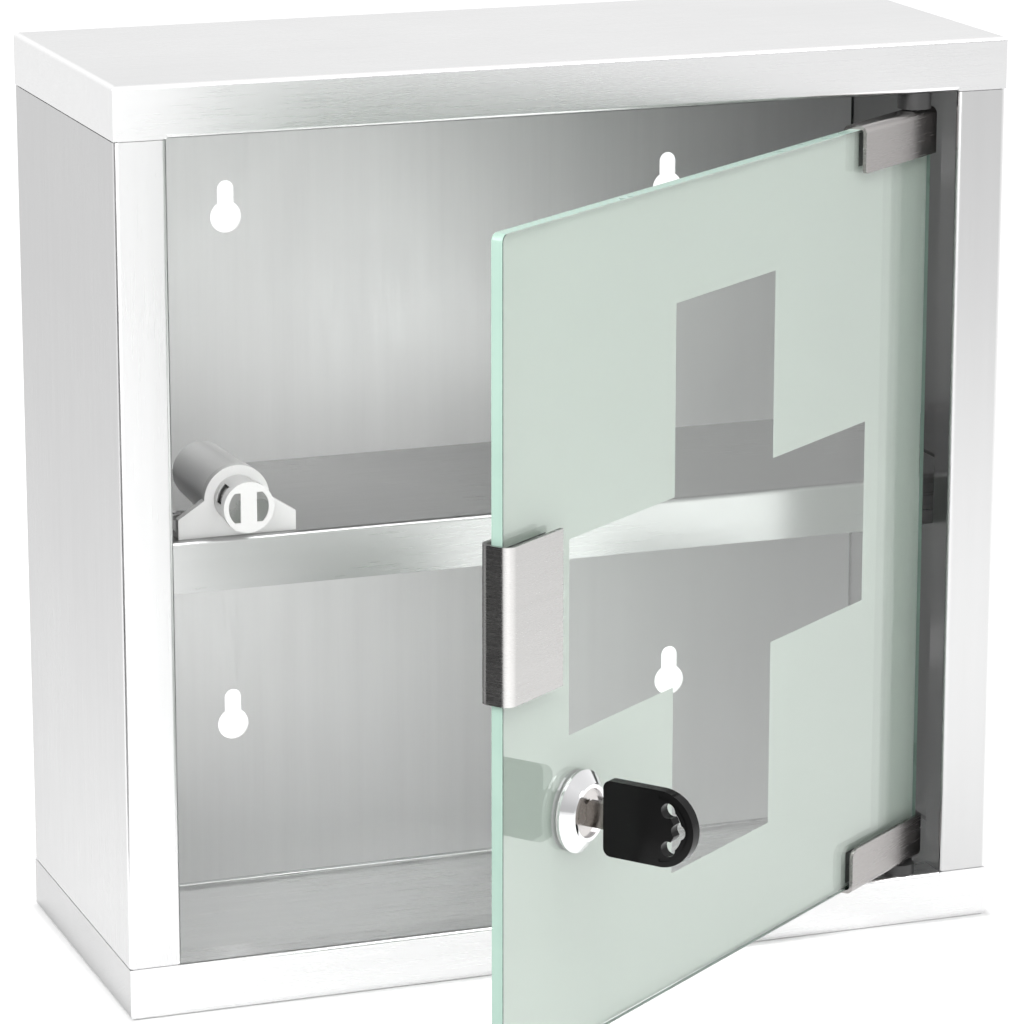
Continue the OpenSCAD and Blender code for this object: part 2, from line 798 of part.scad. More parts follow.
// Black moulded bow with a rim groove at its round end and a lobed hole
module key_bow() {
    r = bow_h / 2;
    centre = r - bow_l;
    groove_out = 1.6;
    groove_in = 2.5;
    hole_r = 6.6;
    hole_half = 1.3;
    lobe_r = 2.4;
    lobe_turn = 62;
    slot_t = blade_t + 2 * seat_fit;
    color(black_colour) on_lock() rotate([90, 0, 90]) translate([0, -bow_out, -bow_t / 2]) difference() {
        linear_extrude(bow_t) bow_outline();
        for (z = [-over, bow_t - bow_groove]) translate([0, 0, z]) linear_extrude(over + bow_groove)
            intersection() {
                translate([0, centre]) difference() {
                    circle(r - groove_out);
                    circle(r - groove_in);
                }
                translate([-r, centre - r]) square([2 * r, r]);
            }
        translate([0, centre, -over]) linear_extrude(bow_t + 2 * over) {
            intersection() {
                difference() {
                    circle(hole_r + hole_half);
                    circle(hole_r - hole_half);
                }
                polygon([[0, 0], [-2 * r, -r], [2 * r, -r]]);
            }
            for (turn = [-lobe_turn, 0, lobe_turn])
                rotate([0, 0, turn]) translate([0, -hole_r]) circle(lobe_r);
        }
        translate([-blade_h / 2 - seat_fit, -blade_in_bow - seat_fit, (bow_t - slot_t) / 2])
            cube([blade_h + 2 * seat_fit, blade_in_bow + seat_fit + over, slot_t]);
    }
}

bottom_pan();
top_pan();
left_side();
right_side();
back_panel();
shelf();
bottom_bush();
top_bush();
catch_foot();
catch_barrel();
catch_screws();
catch_spring();
catch_plunger();
pole_plates();
catch_magnet();
door_glass();
bottom_clamp();
top_clamp();
bottom_clamp_pads();
top_clamp_pads();
clamp_screws();
bottom_pin();
top_pin();
handle_clip();
handle_pads();
handle_screws();
lock_housing();
lock_gaskets();
lock_nut();
lock_plug();
lock_cam();
cam_screw();
key_blade();
key_bow();
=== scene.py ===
"""Looks of a small stainless cabinet with an inset frosted glass door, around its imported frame."""

import json
import math

import bmesh
import bpy
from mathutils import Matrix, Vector


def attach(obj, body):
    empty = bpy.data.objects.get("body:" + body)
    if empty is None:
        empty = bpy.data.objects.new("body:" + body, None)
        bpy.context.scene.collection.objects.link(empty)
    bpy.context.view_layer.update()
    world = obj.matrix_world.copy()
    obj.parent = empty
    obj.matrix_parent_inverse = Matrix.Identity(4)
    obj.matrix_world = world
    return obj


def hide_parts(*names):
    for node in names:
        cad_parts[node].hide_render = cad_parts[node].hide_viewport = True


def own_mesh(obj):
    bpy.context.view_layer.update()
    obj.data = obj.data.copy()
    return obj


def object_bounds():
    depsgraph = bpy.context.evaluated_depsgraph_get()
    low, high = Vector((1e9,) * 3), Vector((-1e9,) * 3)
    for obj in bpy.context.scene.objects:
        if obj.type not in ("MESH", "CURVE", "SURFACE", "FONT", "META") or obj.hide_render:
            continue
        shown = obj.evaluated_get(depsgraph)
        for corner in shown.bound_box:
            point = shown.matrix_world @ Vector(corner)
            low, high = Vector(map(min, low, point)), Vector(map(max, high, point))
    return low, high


MM = 0.001
MICRON = 0.000001

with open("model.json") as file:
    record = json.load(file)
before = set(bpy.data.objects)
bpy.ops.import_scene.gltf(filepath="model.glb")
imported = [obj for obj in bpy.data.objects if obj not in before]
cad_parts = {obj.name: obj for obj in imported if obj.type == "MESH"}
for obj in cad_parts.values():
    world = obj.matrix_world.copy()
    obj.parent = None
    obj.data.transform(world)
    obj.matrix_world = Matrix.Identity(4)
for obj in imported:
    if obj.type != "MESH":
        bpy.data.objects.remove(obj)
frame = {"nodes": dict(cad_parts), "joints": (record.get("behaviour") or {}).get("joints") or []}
cad_low, cad_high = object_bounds()


# --- Sizes taken from the frame -------------------------------------------------------------

JOINTS = {j["name"]: j for j in frame["joints"]}
PIVOT = Vector(JOINTS["door_hinge"]["pos_m"])
LOCK = Vector(JOINTS["lock_turn"]["pos_m"])
DOOR_IN = Vector(JOINTS["lock_turn"]["axis"])
DOOR_ALONG = Vector((DOOR_IN.y, -DOOR_IN.x, 0.0))


def on_door(x, y, z):
    """A point of the door's own frame, in metres: x towards the hinge, y inwards, z up."""
    return PIVOT + DOOR_ALONG * x + DOOR_IN * y + Vector((0.0, 0.0, z))


def door_span(node):
    """Lowest and highest corner of a node in the door's own frame."""
    corners = [v.co - PIVOT for v in frame["nodes"][node].data.vertices]
    along = [c.dot(DOOR_ALONG) for c in corners]
    inwards = [c.dot(DOOR_IN) for c in corners]
    up = [c.z + PIVOT.z for c in corners]
    return Vector((min(along), min(inwards), min(up))), Vector((max(along), max(inwards), max(up)))


def cabinet_span(node):
    """Lowest and highest corner of a node in the cabinet's frame."""
    corners = [v.co for v in frame["nodes"][node].data.vertices]
    low = Vector([min(c[i] for c in corners) for i in range(3)])
    high = Vector([max(c[i] for c in corners) for i in range(3)])
    return low, high


GLASS_LOW, GLASS_HIGH = door_span("door_glass")
GLASS_CENTRE_X = (GLASS_LOW.x + GLASS_HIGH.x) / 2
GLASS_CENTRE_Z = (GLASS_LOW.z + GLASS_HIGH.z) / 2
GLASS_CORNER = 2.5 * MM
# Bevel on the pane's edges, and the angle from which an edge gets one
ARRIS = 0.35 * MM
SHARP_EDGE = math.radians(60)

LOCK_X = (LOCK - PIVOT).dot(DOOR_ALONG)
LOCK_HOLE_R = 9.5 * MM
PLUG_FRONT = door_span("lock_plug")[0].y
# Where the painted shade in the plug's recess starts and where it is full, behind the front face
RECESS_START = 0.1 * MM
RECESS_END = 0.4 * MM

PLUNGER_LOW, PLUNGER_HIGH = cabinet_span("catch_plunger")
STEM_AXIS = ((PLUNGER_LOW.x + PLUNGER_HIGH.x) / 2, 0.0, (PLUNGER_LOW.z + PLUNGER_HIGH.z) / 2)
# Radius at which the painted shade inside the plunger's stem starts and where it is full
STEM_SHADE_START = 7.45 * MM
STEM_SHADE_END = 7.0 * MM
HEAD_REAR = PLUNGER_LOW.y + 3.5 * MM
HEAD_SHADE = 0.1 * MM

# The clear cross: from its middle to the end of an arm, and half an arm's width
CROSS_REACH = 90 * MM
CROSS_ARM = 30 * MM
# The etched layer: its margin inside the pane's edge, its gap to the glass and its thickness
ETCH_MARGIN = 0.4 * MM
ETCH_GAP = 0.02 * MM
ETCH_DEPTH = 0.06 * MM


# --- Node helpers ---------------------------------------------------------------------------

# Sockets of a colour mix: its share, its two colours and its result
MIX_SHARE, MIX_FIRST, MIX_SECOND, MIX_RESULT = 0, 6, 7, 2
WHITE = (1.0, 1.0, 1.0, 1.0)
ORIGIN = (0.0, 0.0, 0.0)


def grey(level):
    """A neutral colour."""
    return (level, level, level)


def new_material(name):
    """An empty node material with a Principled shader and its output."""
    material = bpy.data.materials.new(name)
    material.use_nodes = True
    nodes = material.node_tree.nodes
    nodes.clear()
    output = nodes.new("ShaderNodeOutputMaterial")
    shader = nodes.new("ShaderNodeBsdfPrincipled")
    material.node_tree.links.new(shader.outputs[0], output.inputs["Surface"])
    return material, shader


def add(tree, kind, **values):
    """A node with its properties set, such as operation, and its sockets set by name."""
    node = tree.nodes.new(kind)
    for key, value in values.items():
        if hasattr(node, key):
            setattr(node, key, value)
        else:
            node.inputs[key.replace("_", " ")].default_value = value
    return node


def place_group(tree, group, **values):
    """A group in the tree, with its sockets set by name."""
    return add(tree, "ShaderNodeGroup", node_tree=group, **values)


def mix_colours(tree, share, first, second):
    """A mix of two colours by a value from 0 to 1."""
    mix = add(tree, "ShaderNodeMix", data_type="RGBA")
    mix.inputs[MIX_FIRST].default_value = (*first, 1.0)
    mix.inputs[MIX_SECOND].default_value = (*second, 1.0)
    tree.links.new(share, mix.inputs[MIX_SHARE])
    return mix.outputs[MIX_RESULT]


def spread(tree, source, start, end, low=0.0, high=1.0, kind="LINEAR"):
    """A value that goes from low to high while the source goes from start to end."""
    node = add(tree, "ShaderNodeMapRange", From_Min=start, From_Max=end, To_Min=low, To_Max=high)
    node.interpolation_type = kind
    tree.links.new(source, node.inputs["Value"])
    return node.outputs["Result"]


def product(tree, first, second):
    """One value times another."""
    node = add(tree, "ShaderNodeMath", operation="MULTIPLY")
    tree.links.new(first, node.inputs[0])
    tree.links.new(second, node.inputs[1])
    return node.outputs[0]


def reach_along(tree, source, direction):
    """How far a vector reaches along a direction."""
    node = add(tree, "ShaderNodeVectorMath", operation="DOT_PRODUCT")
    node.inputs[1].default_value = direction
    tree.links.new(source, node.inputs[0])
    return node.outputs["Value"]


def distance_from(tree, source, centre):
    """How far a place is from a point."""
    node = add(tree, "ShaderNodeVectorMath", operation="DISTANCE")
    node.inputs[1].default_value = centre
    tree.links.new(source, node.inputs[0])
    return node.outputs["Value"]


def scale_colour(tree, colour, share, socket):
    """Feeds a colour socket with a colour times a value."""
    node = add(tree, "ShaderNodeVectorMath", operation="SCALE")
    tree.links.new(colour, node.inputs[0])
    tree.links.new(share, node.inputs["Scale"])
    tree.links.new(node.outputs[0], socket)


def new_group(name, inputs, outputs):
    """A shader node group with float or vector sockets, and its input and output nodes."""
    group = bpy.data.node_groups.new(name, "ShaderNodeTree")
    for socket_name, kind in inputs:
        group.interface.new_socket(name=socket_name, in_out="INPUT", socket_type=kind)
    for socket_name, kind in outputs:
        group.interface.new_socket(name=socket_name, in_out="OUTPUT", socket_type=kind)
    return group, group.nodes.new("NodeGroupInput"), group.nodes.new("NodeGroupOutput")


FLOAT = "NodeSocketFloat"
VECTOR = "NodeSocketVector"
# Noise values from which a speck starts to show and at which it is full
SPECK_START = 0.62
SPECK_FULL = 0.74


def make_grain_group():
    """Brushed grain: fine lines and broader bands stretched by a vector of scales."""
    group, entry, leave = new_group(
        "brushed_grain",
        [("Scales", VECTOR), ("Fine", FLOAT), ("Bands", FLOAT)],
        [("Lines", FLOAT), ("Tone", FLOAT)],
    )
    link = group.links.new
    place = add(group, "ShaderNodeTexCoord")
    stretch = add(group, "ShaderNodeVectorMath", operation="MULTIPLY")
    link(place.outputs["Object"], stretch.inputs[0])
    link(entry.outputs["Scales"], stretch.inputs[1])
    fine = add(group, "ShaderNodeTexNoise", Detail=4.0, Roughness=0.65)
    link(stretch.outputs[0], fine.inputs["Vector"])
    link(entry.outputs["Fine"], fine.inputs["Scale"])
    bands = add(group, "ShaderNodeTexNoise", Detail=2.0, Roughness=0.5)
    link(stretch.outputs[0], bands.inputs["Vector"])
    link(entry.outputs["Bands"], bands.inputs["Scale"])
    link(fine.outputs["Fac"], leave.inputs["Lines"])
    link(bands.outputs["Fac"], leave.inputs["Tone"])
    return group


def make_cloud_group():
    """Soft handling marks: large clouds and small specks, both from 0 to 1."""
    group, entry, leave = new_group(
        "handling_marks",
        [("Clouds", FLOAT), ("Specks", FLOAT)],
        [("Cloud", FLOAT), ("Speck", FLOAT)],
    )
    link = group.links.new
    place = add(group, "ShaderNodeTexCoord")
    cloud = add(group, "ShaderNodeTexNoise", Detail=3.0, Roughness=0.55, Distortion=0.4)
    link(place.outputs["Object"], cloud.inputs["Vector"])
    link(entry.outputs["Clouds"], cloud.inputs["Scale"])
    speck = add(group, "ShaderNodeTexNoise", Detail=2.0, Roughness=0.6)
    link(place.outputs["Object"], speck.inputs["Vector"])
    link(entry.outputs["Specks"], speck.inputs["Scale"])
    link(cloud.outputs["Fac"], leave.inputs["Cloud"])
    link(spread(group, speck.outputs["Fac"], SPECK_START, SPECK_FULL), leave.inputs["Speck"])
    return group


def make_face_shade_group():
    """Painted light and shade on a face: a share of the tone by axis for each way that the face may look.
    """
    group, entry, leave = new_group(
        "painted_face_shade",
        [("Low Shares", VECTOR), ("High Shares", VECTOR)],
        [("Share", FLOAT)],
    )
    link = group.links.new
    place = add(group, "ShaderNodeTexCoord")
    share = add(group, "ShaderNodeMath", operation="SUBTRACT")
    for socket, side, kept in ((0, "High Shares", "MAXIMUM"), (1, "Low Shares", "MINIMUM")):
        part = add(group, "ShaderNodeVectorMath", operation=kept)
        part.inputs[1].default_value = ORIGIN
        link(place.outputs["Normal"], part.inputs[0])
        weighed = add(group, "ShaderNodeVectorMath", operation="DOT_PRODUCT")
        link(part.outputs[0], weighed.inputs[0])
        link(entry.outputs[side], weighed.inputs[1])
        link(weighed.outputs["Value"], share.inputs[socket])
    link(share.outputs[0], leave.inputs["Share"])
    return group


GRAIN = make_grain_group()
MARKS = make_cloud_group()
FACE_SHADE_GROUP = make_face_shade_group()
# Most of a noise's values lie between these two
NOISE_LOW = 0.3
NOISE_HIGH = 0.7


def ramp_to(tree, source, socket, low, high):
    """Feeds a socket from a noise, spread between two values."""
    tree.links.new(spread(tree, source, NOISE_LOW, NOISE_HIGH, low, high), socket)


def tint(tree, source, socket, dark, light):
    """Feeds a colour socket with a mix of two colours."""
    tree.links.new(mix_colours(tree, source, dark, light), socket)


def bump(tree, shader, source, strength, distance):
    """Adds relief from a height to the shader's normal."""
    relief = add(tree, "ShaderNodeBump", Strength=strength, Distance=distance)
    tree.links.new(source, relief.inputs["Height"])
    tree.links.new(relief.outputs["Normal"], shader.inputs["Normal"])


# --- Materials ------------------------------------------------------------------------------

# Scales of the grain by the direction that it runs in: level grain runs along every level direction
GRAIN_ALONG = {
    "x": (1.0, 60.0, 60.0),
    "y": (60.0, 1.0, 60.0),
    "z": (60.0, 60.0, 1.0),
    "level": (1.5, 1.5, 60.0),
}
GRAIN_BANDS = 4.0
# How far the bands darken and lighten the tone
BAND_DARK = 0.97
BAND_LIGHT = 1.03
# Shares of the fine lines and of the clouds in the gloss
LINE_SHARE = 0.6
CLOUD_SHARE = 0.4


def brushed_metal(name, along, tone, rough, faces=(1.0, 1.0, 1.0), high=None, depth=0.5, fine=40.0):
    """Brushed sheet: lines along one axis, faint bands, clouds of handling in the gloss.

    faces holds the share of the tone on faces that look along X, Y and Z: painted light and
    shade, lighter or darker by which way a face looks. high holds the shares of the faces that
    look towards +X, +Y and +Z, where they differ. depth is the relief of the lines in
    thousandths of a millimetre.
    """
    material, shader = new_material(name)
    tree = material.node_tree
    shader.inputs["Metallic"].default_value = 1.0
    grain = place_group(tree, GRAIN, Scales=GRAIN_ALONG[along], Fine=fine, Bands=GRAIN_BANDS)
    marks = place_group(tree, MARKS, Clouds=9.0, Specks=420.0)
    # Painted light and shade: the tone is scaled by which way each face looks.
    face_shade = place_group(tree, FACE_SHADE_GROUP, Low_Shares=faces, High_Shares=high or faces)
    dark = [c * BAND_DARK for c in tone]
    light = [c * BAND_LIGHT for c in tone]
    streaked = mix_colours(tree, grain.outputs["Tone"], dark, light)
    scale_colour(tree, streaked, face_shade.outputs["Share"], shader.inputs["Base Color"])
    clouds = add(tree, "ShaderNodeMath", operation="MULTIPLY")
    clouds.inputs[1].default_value = CLOUD_SHARE
    tree.links.new(marks.outputs["Cloud"], clouds.inputs[0])
    gloss = add(tree, "ShaderNodeMath", operation="MULTIPLY_ADD")
    gloss.inputs[1].default_value = LINE_SHARE
    tree.links.new(grain.outputs["Lines"], gloss.inputs[0])
    tree.links.new(clouds.outputs[0], gloss.inputs[2])
    ramp_to(tree, gloss.outputs[0], shader.inputs["Roughness"], low=rough * 0.8, high=rough * 1.25)
    bump(tree, shader, grain.outputs["Lines"], strength=0.35, distance=depth * MICRON)
    return material


def bright_chrome(name, colour, rough):
    """Plated metal with faint clouding in its tint, gloss and relief."""
    material, shader = new_material(name)
    tree = material.node_tree
    shader.inputs["Metallic"].default_value = 1.0
    marks = place_group(tree, MARKS, Clouds=60.0, Specks=900.0)
    tint(tree, marks.outputs["Cloud"], shader.inputs["Base Color"], [c * 0.9 for c in colour], colour)
    ramp_to(tree, marks.outputs["Cloud"], shader.inputs["Roughness"], low=rough * 0.6, high=rough * 1.6)
    bump(tree, shader, marks.outputs["Cloud"], strength=0.1, distance=20 * MICRON)
    return material


def nickel_with_recess_shade(name, face, shade_colour):
    """The plug's nickel: bright on its front face, and darkened in the recess behind it by painted shade.
    """
    material, shader = new_material(name)
    tree = material.node_tree
    shader.inputs["Metallic"].default_value = 1.0
    marks = place_group(tree, MARKS, Clouds=90.0, Specks=900.0)
    place = add(tree, "ShaderNodeTexCoord")
    # Painted shade: the base colour darkens in the recess behind the plug's front face.
    inwards = reach_along(tree, place.outputs["Object"], DOOR_IN)
    front = PIVOT.dot(DOOR_IN) + PLUG_FRONT
    depth = spread(tree, inwards, front + RECESS_START, front + RECESS_END)
    tint(tree, depth, shader.inputs["Base Color"], face, shade_colour)
    ramp_to(tree, marks.outputs["Cloud"], shader.inputs["Roughness"], low=0.12, high=0.28)
    bump(tree, shader, marks.outputs["Cloud"], strength=0.1, distance=20 * MICRON)
    return material


def moulded_plastic(name, dark, light, rough, coat=0.0, shine=0.5):
    """Moulded plastic: a fine spark-eroded texture and slight clouding."""
    material, shader = new_material(name)
    tree = material.node_tree
    shader.inputs["Specular IOR Level"].default_value = shine
    shader.inputs["Coat Weight"].default_value = coat
    shader.inputs["Coat Roughness"].default_value = 0.2
    marks = place_group(tree, MARKS, Clouds=35.0, Specks=2600.0)
    tint(tree, marks.outputs["Cloud"], shader.inputs["Base Color"], dark, light)
    ramp_to(tree, marks.outputs["Cloud"], shader.inputs["Roughness"], low=rough * 0.85, high=rough * 1.2)
    bump(tree, shader, marks.outputs["Speck"], strength=0.3, distance=30 * MICRON)
    return material


def plastic_with_stem_shade(name, light, shade_colour):
    """The plunger's white plastic, darkened by painted shade inside its stem, behind the head, where the
    windows look in.
    """
    material = moulded_plastic(name, [c * 0.93 for c in light], light, rough=0.34, coat=0.1)
    tree = material.node_tree
    base = tree.nodes["Principled BSDF"].inputs["Base Color"]
    plain = base.links[0].from_socket
    place = add(tree, "ShaderNodeTexCoord")
    across = add(tree, "ShaderNodeVectorMath", operation="MULTIPLY")
    across.inputs[1].default_value = (1.0, 0.0, 1.0)
    tree.links.new(place.outputs["Object"], across.inputs[0])
    # Painted shade: the base colour turns dark inside the stem, behind the head.
    out = distance_from(tree, across.outputs[0], STEM_AXIS)
    inside = spread(tree, out, STEM_SHADE_START, STEM_SHADE_END)
    depth = reach_along(tree, place.outputs["Object"], (0.0, 1.0, 0.0))
    behind = spread(tree, depth, HEAD_REAR, HEAD_REAR + HEAD_SHADE)
    mix = add(tree, "ShaderNodeMix", data_type="RGBA")
    mix.inputs[MIX_SECOND].default_value = (*shade_colour, 1.0)
    tree.links.new(product(tree, inside, behind), mix.inputs[MIX_SHARE])
    tree.links.new(plain, mix.inputs[MIX_FIRST])
    tree.links.new(mix.outputs[MIX_RESULT], base)
    return material


def clear_pane(name, dark, light):
    """Low-iron float glass with a green body and polished faces."""
    material, shader = new_material(name)
    tree = material.node_tree
    shader.inputs["Transmission Weight"].default_value = 1.0
    shader.inputs["IOR"].default_value = 1.5
    marks = place_group(tree, MARKS, Clouds=14.0, Specks=1500.0)
    tint(tree, marks.outputs["Cloud"], shader.inputs["Base Color"], dark, light)
    ramp_to(tree, marks.outputs["Cloud"], shader.inputs["Roughness"], low=0.0, high=0.012)
    return material


def ground_rim(name, dark, light):
    """Ground and polished rim of the pane, bright green from the light that runs inside the glass."""
    material, shader = new_material(name)
    tree = material.node_tree
    shader.inputs["Specular IOR Level"].default_value = 0.3
    marks = place_group(tree, MARKS, Clouds=45.0, Specks=1500.0)
    tint(tree, marks.outputs["Cloud"], shader.inputs["Base Color"], dark, light)
    ramp_to(tree, marks.outputs["Cloud"], shader.inputs["Roughness"], low=0.25, high=0.4)
    return material


def etched_face(name, dark, light, rear_shade):
    """Satin-etched face of the pane: it scatters light, and its faces that look into the cabinet are
    darker by painted shade.
    """
    material, shader = new_material(name)
    tree = material.node_tree
    shader.inputs["Transmission Weight"].default_value = 0.30
    shader.inputs["IOR"].default_value = 1.25
    shader.inputs["Specular IOR Level"].default_value = 0.2
    marks = place_group(tree, MARKS, Clouds=11.0, Specks=3800.0)
    place = add(tree, "ShaderNodeTexCoord")
    # Painted shade: faces that look into the cabinet are darker.
    inwards = reach_along(tree, place.outputs["Normal"], DOOR_IN)
    share = spread(tree, inwards, -1.0, 1.0, low=1.0, high=rear_shade)
    cloudy = mix_colours(tree, marks.outputs["Cloud"], dark, light)
    scale_colour(tree, cloudy, share, shader.inputs["Base Color"])
    ramp_to(tree, marks.outputs["Cloud"], shader.inputs["Roughness"], low=0.85, high=0.95)
    bump(tree, shader, marks.outputs["Speck"], strength=0.2, distance=20 * MICRON)
    return material


# Tones of the sheet on the pans and on the sides, and the painted shade on faces that look to the wall.
# The face shares of each sheet paint light and shade: a face is lighter or darker by which way it looks.
SHEET = (0.67, 0.67, 0.672)
SIDE_SHEET = (0.65, 0.65, 0.652)
REAR_SHADE = 0.62
STEEL_TOP = brushed_metal(
    "steel_top", "x", SHEET, rough=0.28, faces=(1.06, 1.02, 0.90), high=(1.06, REAR_SHADE, 0.90)
)
STEEL_BOTTOM = brushed_metal(
    "steel_bottom", "x", SHEET, rough=0.28, faces=(0.58, 1.05, 1.15), high=(0.58, REAR_SHADE, 1.27)
)
STEEL_LEFT = brushed_metal(
    "steel_left", "z", SIDE_SHEET, rough=0.30, faces=(0.70, 0.97, 1.0), high=(0.70, REAR_SHADE, 1.0)
)
STEEL_RIGHT = brushed_metal(
    "steel_right", "z", SIDE_SHEET, rough=0.20, faces=(0.23, 0.8, 1.0), high=(0.9, REAR_SHADE, 1.0)
)
# The back panel's tone is brighter than the rest of the sheet: painted light inside the cabinet. Its
# faces that look towards +Y are darker: painted shade.
STEEL_BACK = brushed_metal("steel_back", "z", (0.91, 0.908, 0.908), rough=0.56, high=(1.0, 0.5, 1.0))
# The shelf's faces that look up and down are darker: painted shade.
STEEL_SHELF = brushed_metal(
    "steel_shelf", "x", grey(0.63), rough=0.30, faces=(1.0, 0.97, 0.48), depth=0.35
)
FITTING = brushed_metal("fitting_plate", "level", (0.24, 0.23, 0.225), rough=0.24, depth=0.3)
# Faces that look along X are black and faces that look along Y are brighter: painted shade and painted
# highlight.
HANDLE_PLATE = brushed_metal(
    "handle_plate", "level", (0.33, 0.325, 0.32), rough=0.26, faces=(0.0, 1.65, 1.0), depth=0.3, fine=60.0
)
BARREL_SLEEVE = brushed_metal("barrel_sleeve", "y", grey(0.55), rough=0.30)
CHROME = bright_chrome("lock_chrome", (0.76, 0.76, 0.77), rough=0.07)
NICKEL = nickel_with_recess_shade("plug_nickel", (0.50, 0.48, 0.47), (0.13, 0.115, 0.10))
ZINC = bright_chrome("zinc_steel", (0.60, 0.60, 0.61), rough=0.24)
# Darker than the other steel: painted shade, so the plates look dark in the stem's windows.
POLE_STEEL = bright_chrome("pole_steel", (0.36, 0.36, 0.355), rough=0.30)
KEY_STEEL = bright_chrome("key_steel", (0.20, 0.185, 0.17), rough=0.22)
KEY_BLACK = moulded_plastic("key_black", grey(0.003), grey(0.006), rough=0.14, shine=0.12)
BLACK_NYLON = moulded_plastic("black_nylon", grey(0.012), grey(0.030), rough=0.45)
WHITE_PLUNGER = plastic_with_stem_shade("white_plunger", (0.56, 0.56, 0.555), grey(0.05))
WHITE_MOULDING = moulded_plastic(
    "white_moulding", (0.60, 0.60, 0.595), (0.66, 0.66, 0.655), rough=0.34, coat=0.1
)
GREY_RUBBER = moulded_plastic("grey_rubber", (0.10, 0.105, 0.10), (0.15, 0.155, 0.15), rough=0.6)
FERRITE = moulded_plastic("ferrite", grey(0.03), grey(0.06), rough=0.6)
GLASS = clear_pane("pane_glass", (0.955, 0.985, 0.965), (0.965, 0.995, 0.975))
GLASS_RIM = ground_rim("pane_rim", (0.21, 0.30, 0.26), (0.26, 0.36, 0.31))
ETCHING = etched_face("pane_etching", (0.70, 0.76, 0.71), (0.72, 0.775, 0.73), rear_shade=0.74)

NODE_MATERIALS = {
    "bottom_pan": STEEL_BOTTOM,
    "top_pan": STEEL_TOP,
    "left_side": STEEL_LEFT,
    "right_side": STEEL_RIGHT,
    "back_panel": STEEL_BACK,
    "shelf": STEEL_SHELF,
    "bottom_bush": BLACK_NYLON,
    "top_bush": BLACK_NYLON,
    "catch_foot": WHITE_MOULDING,
    "catch_barrel": BARREL_SLEEVE,
    "catch_screws": ZINC,
    "catch_spring": ZINC,
    "catch_plunger": WHITE_PLUNGER,
    "pole_plates": POLE_STEEL,
    "catch_magnet": FERRITE,
    "door_glass": GLASS,
    "bottom_clamp": FITTING,
    "top_clamp": FITTING,
    "bottom_clamp_pads": GREY_RUBBER,
    "top_clamp_pads": GREY_RUBBER,
    "clamp_screws": ZINC,
    "bottom_pin": ZINC,
    "top_pin": ZINC,
    "handle_clip": HANDLE_PLATE,
    "handle_pads": GREY_RUBBER,
    "handle_screws": ZINC,
    "lock_housing": CHROME,
    "lock_gaskets": WHITE_MOULDING,
    "lock_nut": CHROME,
    "lock_plug": NICKEL,
    "lock_cam": ZINC,
    "cam_screw": ZINC,
    "key_blade": KEY_STEEL,
    "key_bow": KEY_BLACK,
}

for node_name, finish in NODE_MATERIALS.items():
    cad_mesh = frame["nodes"][node_name].data
    cad_mesh.materials.clear()
    cad_mesh.materials.append(finish)


# --- Pieces ---------------------------------------------------------------------------------


def new_object(name, bm, material):
    """An object made from a bmesh in the cabinet's frame, with one material."""
    mesh = bpy.data.meshes.new(name)
    bm.to_mesh(mesh)
    bm.free()
    mesh.materials.append(material)
    thing = bpy.data.objects.new(name, mesh)
    bpy.context.scene.collection.objects.link(thing)
    return thing


def make_piece(name, bm, material, body):
    """Turns a bmesh into a piece that rides on a body."""
    piece = new_object(name, bm, material)
    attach(piece, body)
    return piece


def loop_edges(bm, points):
    """A closed ring of edges through the points."""
    ring = [bm.verts.new(p) for p in points]
    return [bm.edges.new((ring[i - 1], ring[i])) for i in range(len(ring))]


def rounded_outline(low_x, high_x, low_z, high_z, r, y, steps=6):
    """Points of a rounded rectangle in the door's own plane at depth y."""
    points = []
    corners = [
        (high_x - r, high_z - r, 0.0),
        (low_x + r, high_z - r, 90.0),
        (low_x + r, low_z + r, 180.0),
        (high_x - r, low_z + r, 270.0),
    ]
    for x, z, start in corners:
        for i in range(steps + 1):
            a = math.radians(start + 90.0 * i / steps)
            points.append(on_door(x + r * math.cos(a), y, z + r * math.sin(a)))
    return points


def circle_outline(x, z, r, y, steps=48):
    """Points of a circle in the door's own plane at depth y."""
    turns = [2.0 * math.pi * i / steps for i in range(steps)]
    return [on_door(x + r * math.cos(a), y, z + r * math.sin(a)) for a in turns]


def cross_outline(x, z, reach, arm, y):
    """Points of an upright cross with square ends."""
    corners = [(arm, reach), (arm, arm), (reach, arm)]
    points = []
    for _ in range(4):
        points += [on_door(x + u, y, z + v) for u, v in corners]
        corners = [(v, -u) for u, v in corners]
    return points


def pane_outlines(bm, margin, y, with_cross):
    """Edges of the pane's outline and lock hole at depth y, and of the cross if it is wanted."""
    low_x, high_x = GLASS_LOW.x + margin, GLASS_HIGH.x - margin
    low_z, high_z = GLASS_LOW.z + margin, GLASS_HIGH.z - margin
    edges = loop_edges(bm, rounded_outline(low_x, high_x, low_z, high_z, GLASS_CORNER, y))
    edges += loop_edges(bm, circle_outline(LOCK_X, LOCK.z, LOCK_HOLE_R + margin, y))
    if with_cross:
        edges += loop_edges(bm, cross_outline(GLASS_CENTRE_X, GLASS_CENTRE_Z, CROSS_REACH, CROSS_ARM, y))
    return edges


def thicken(bm, depth):
    """Gives a flat filled outline its thickness, inwards, and turns the faces outwards."""
    top = bmesh.ops.extrude_face_region(bm, geom=bm.faces[:])
    moved = [v for v in top["geom"] if isinstance(v, bmesh.types.BMVert)]
    bmesh.ops.translate(bm, verts=moved, vec=DOOR_IN * depth)
    bmesh.ops.recalc_face_normals(bm, faces=bm.faces)


# The pane's material slots, and how squarely a face looks through the door to be a flat one
FLAT_SLOT, RIM_SLOT = 0, 1
FLAT_FACE = 0.5


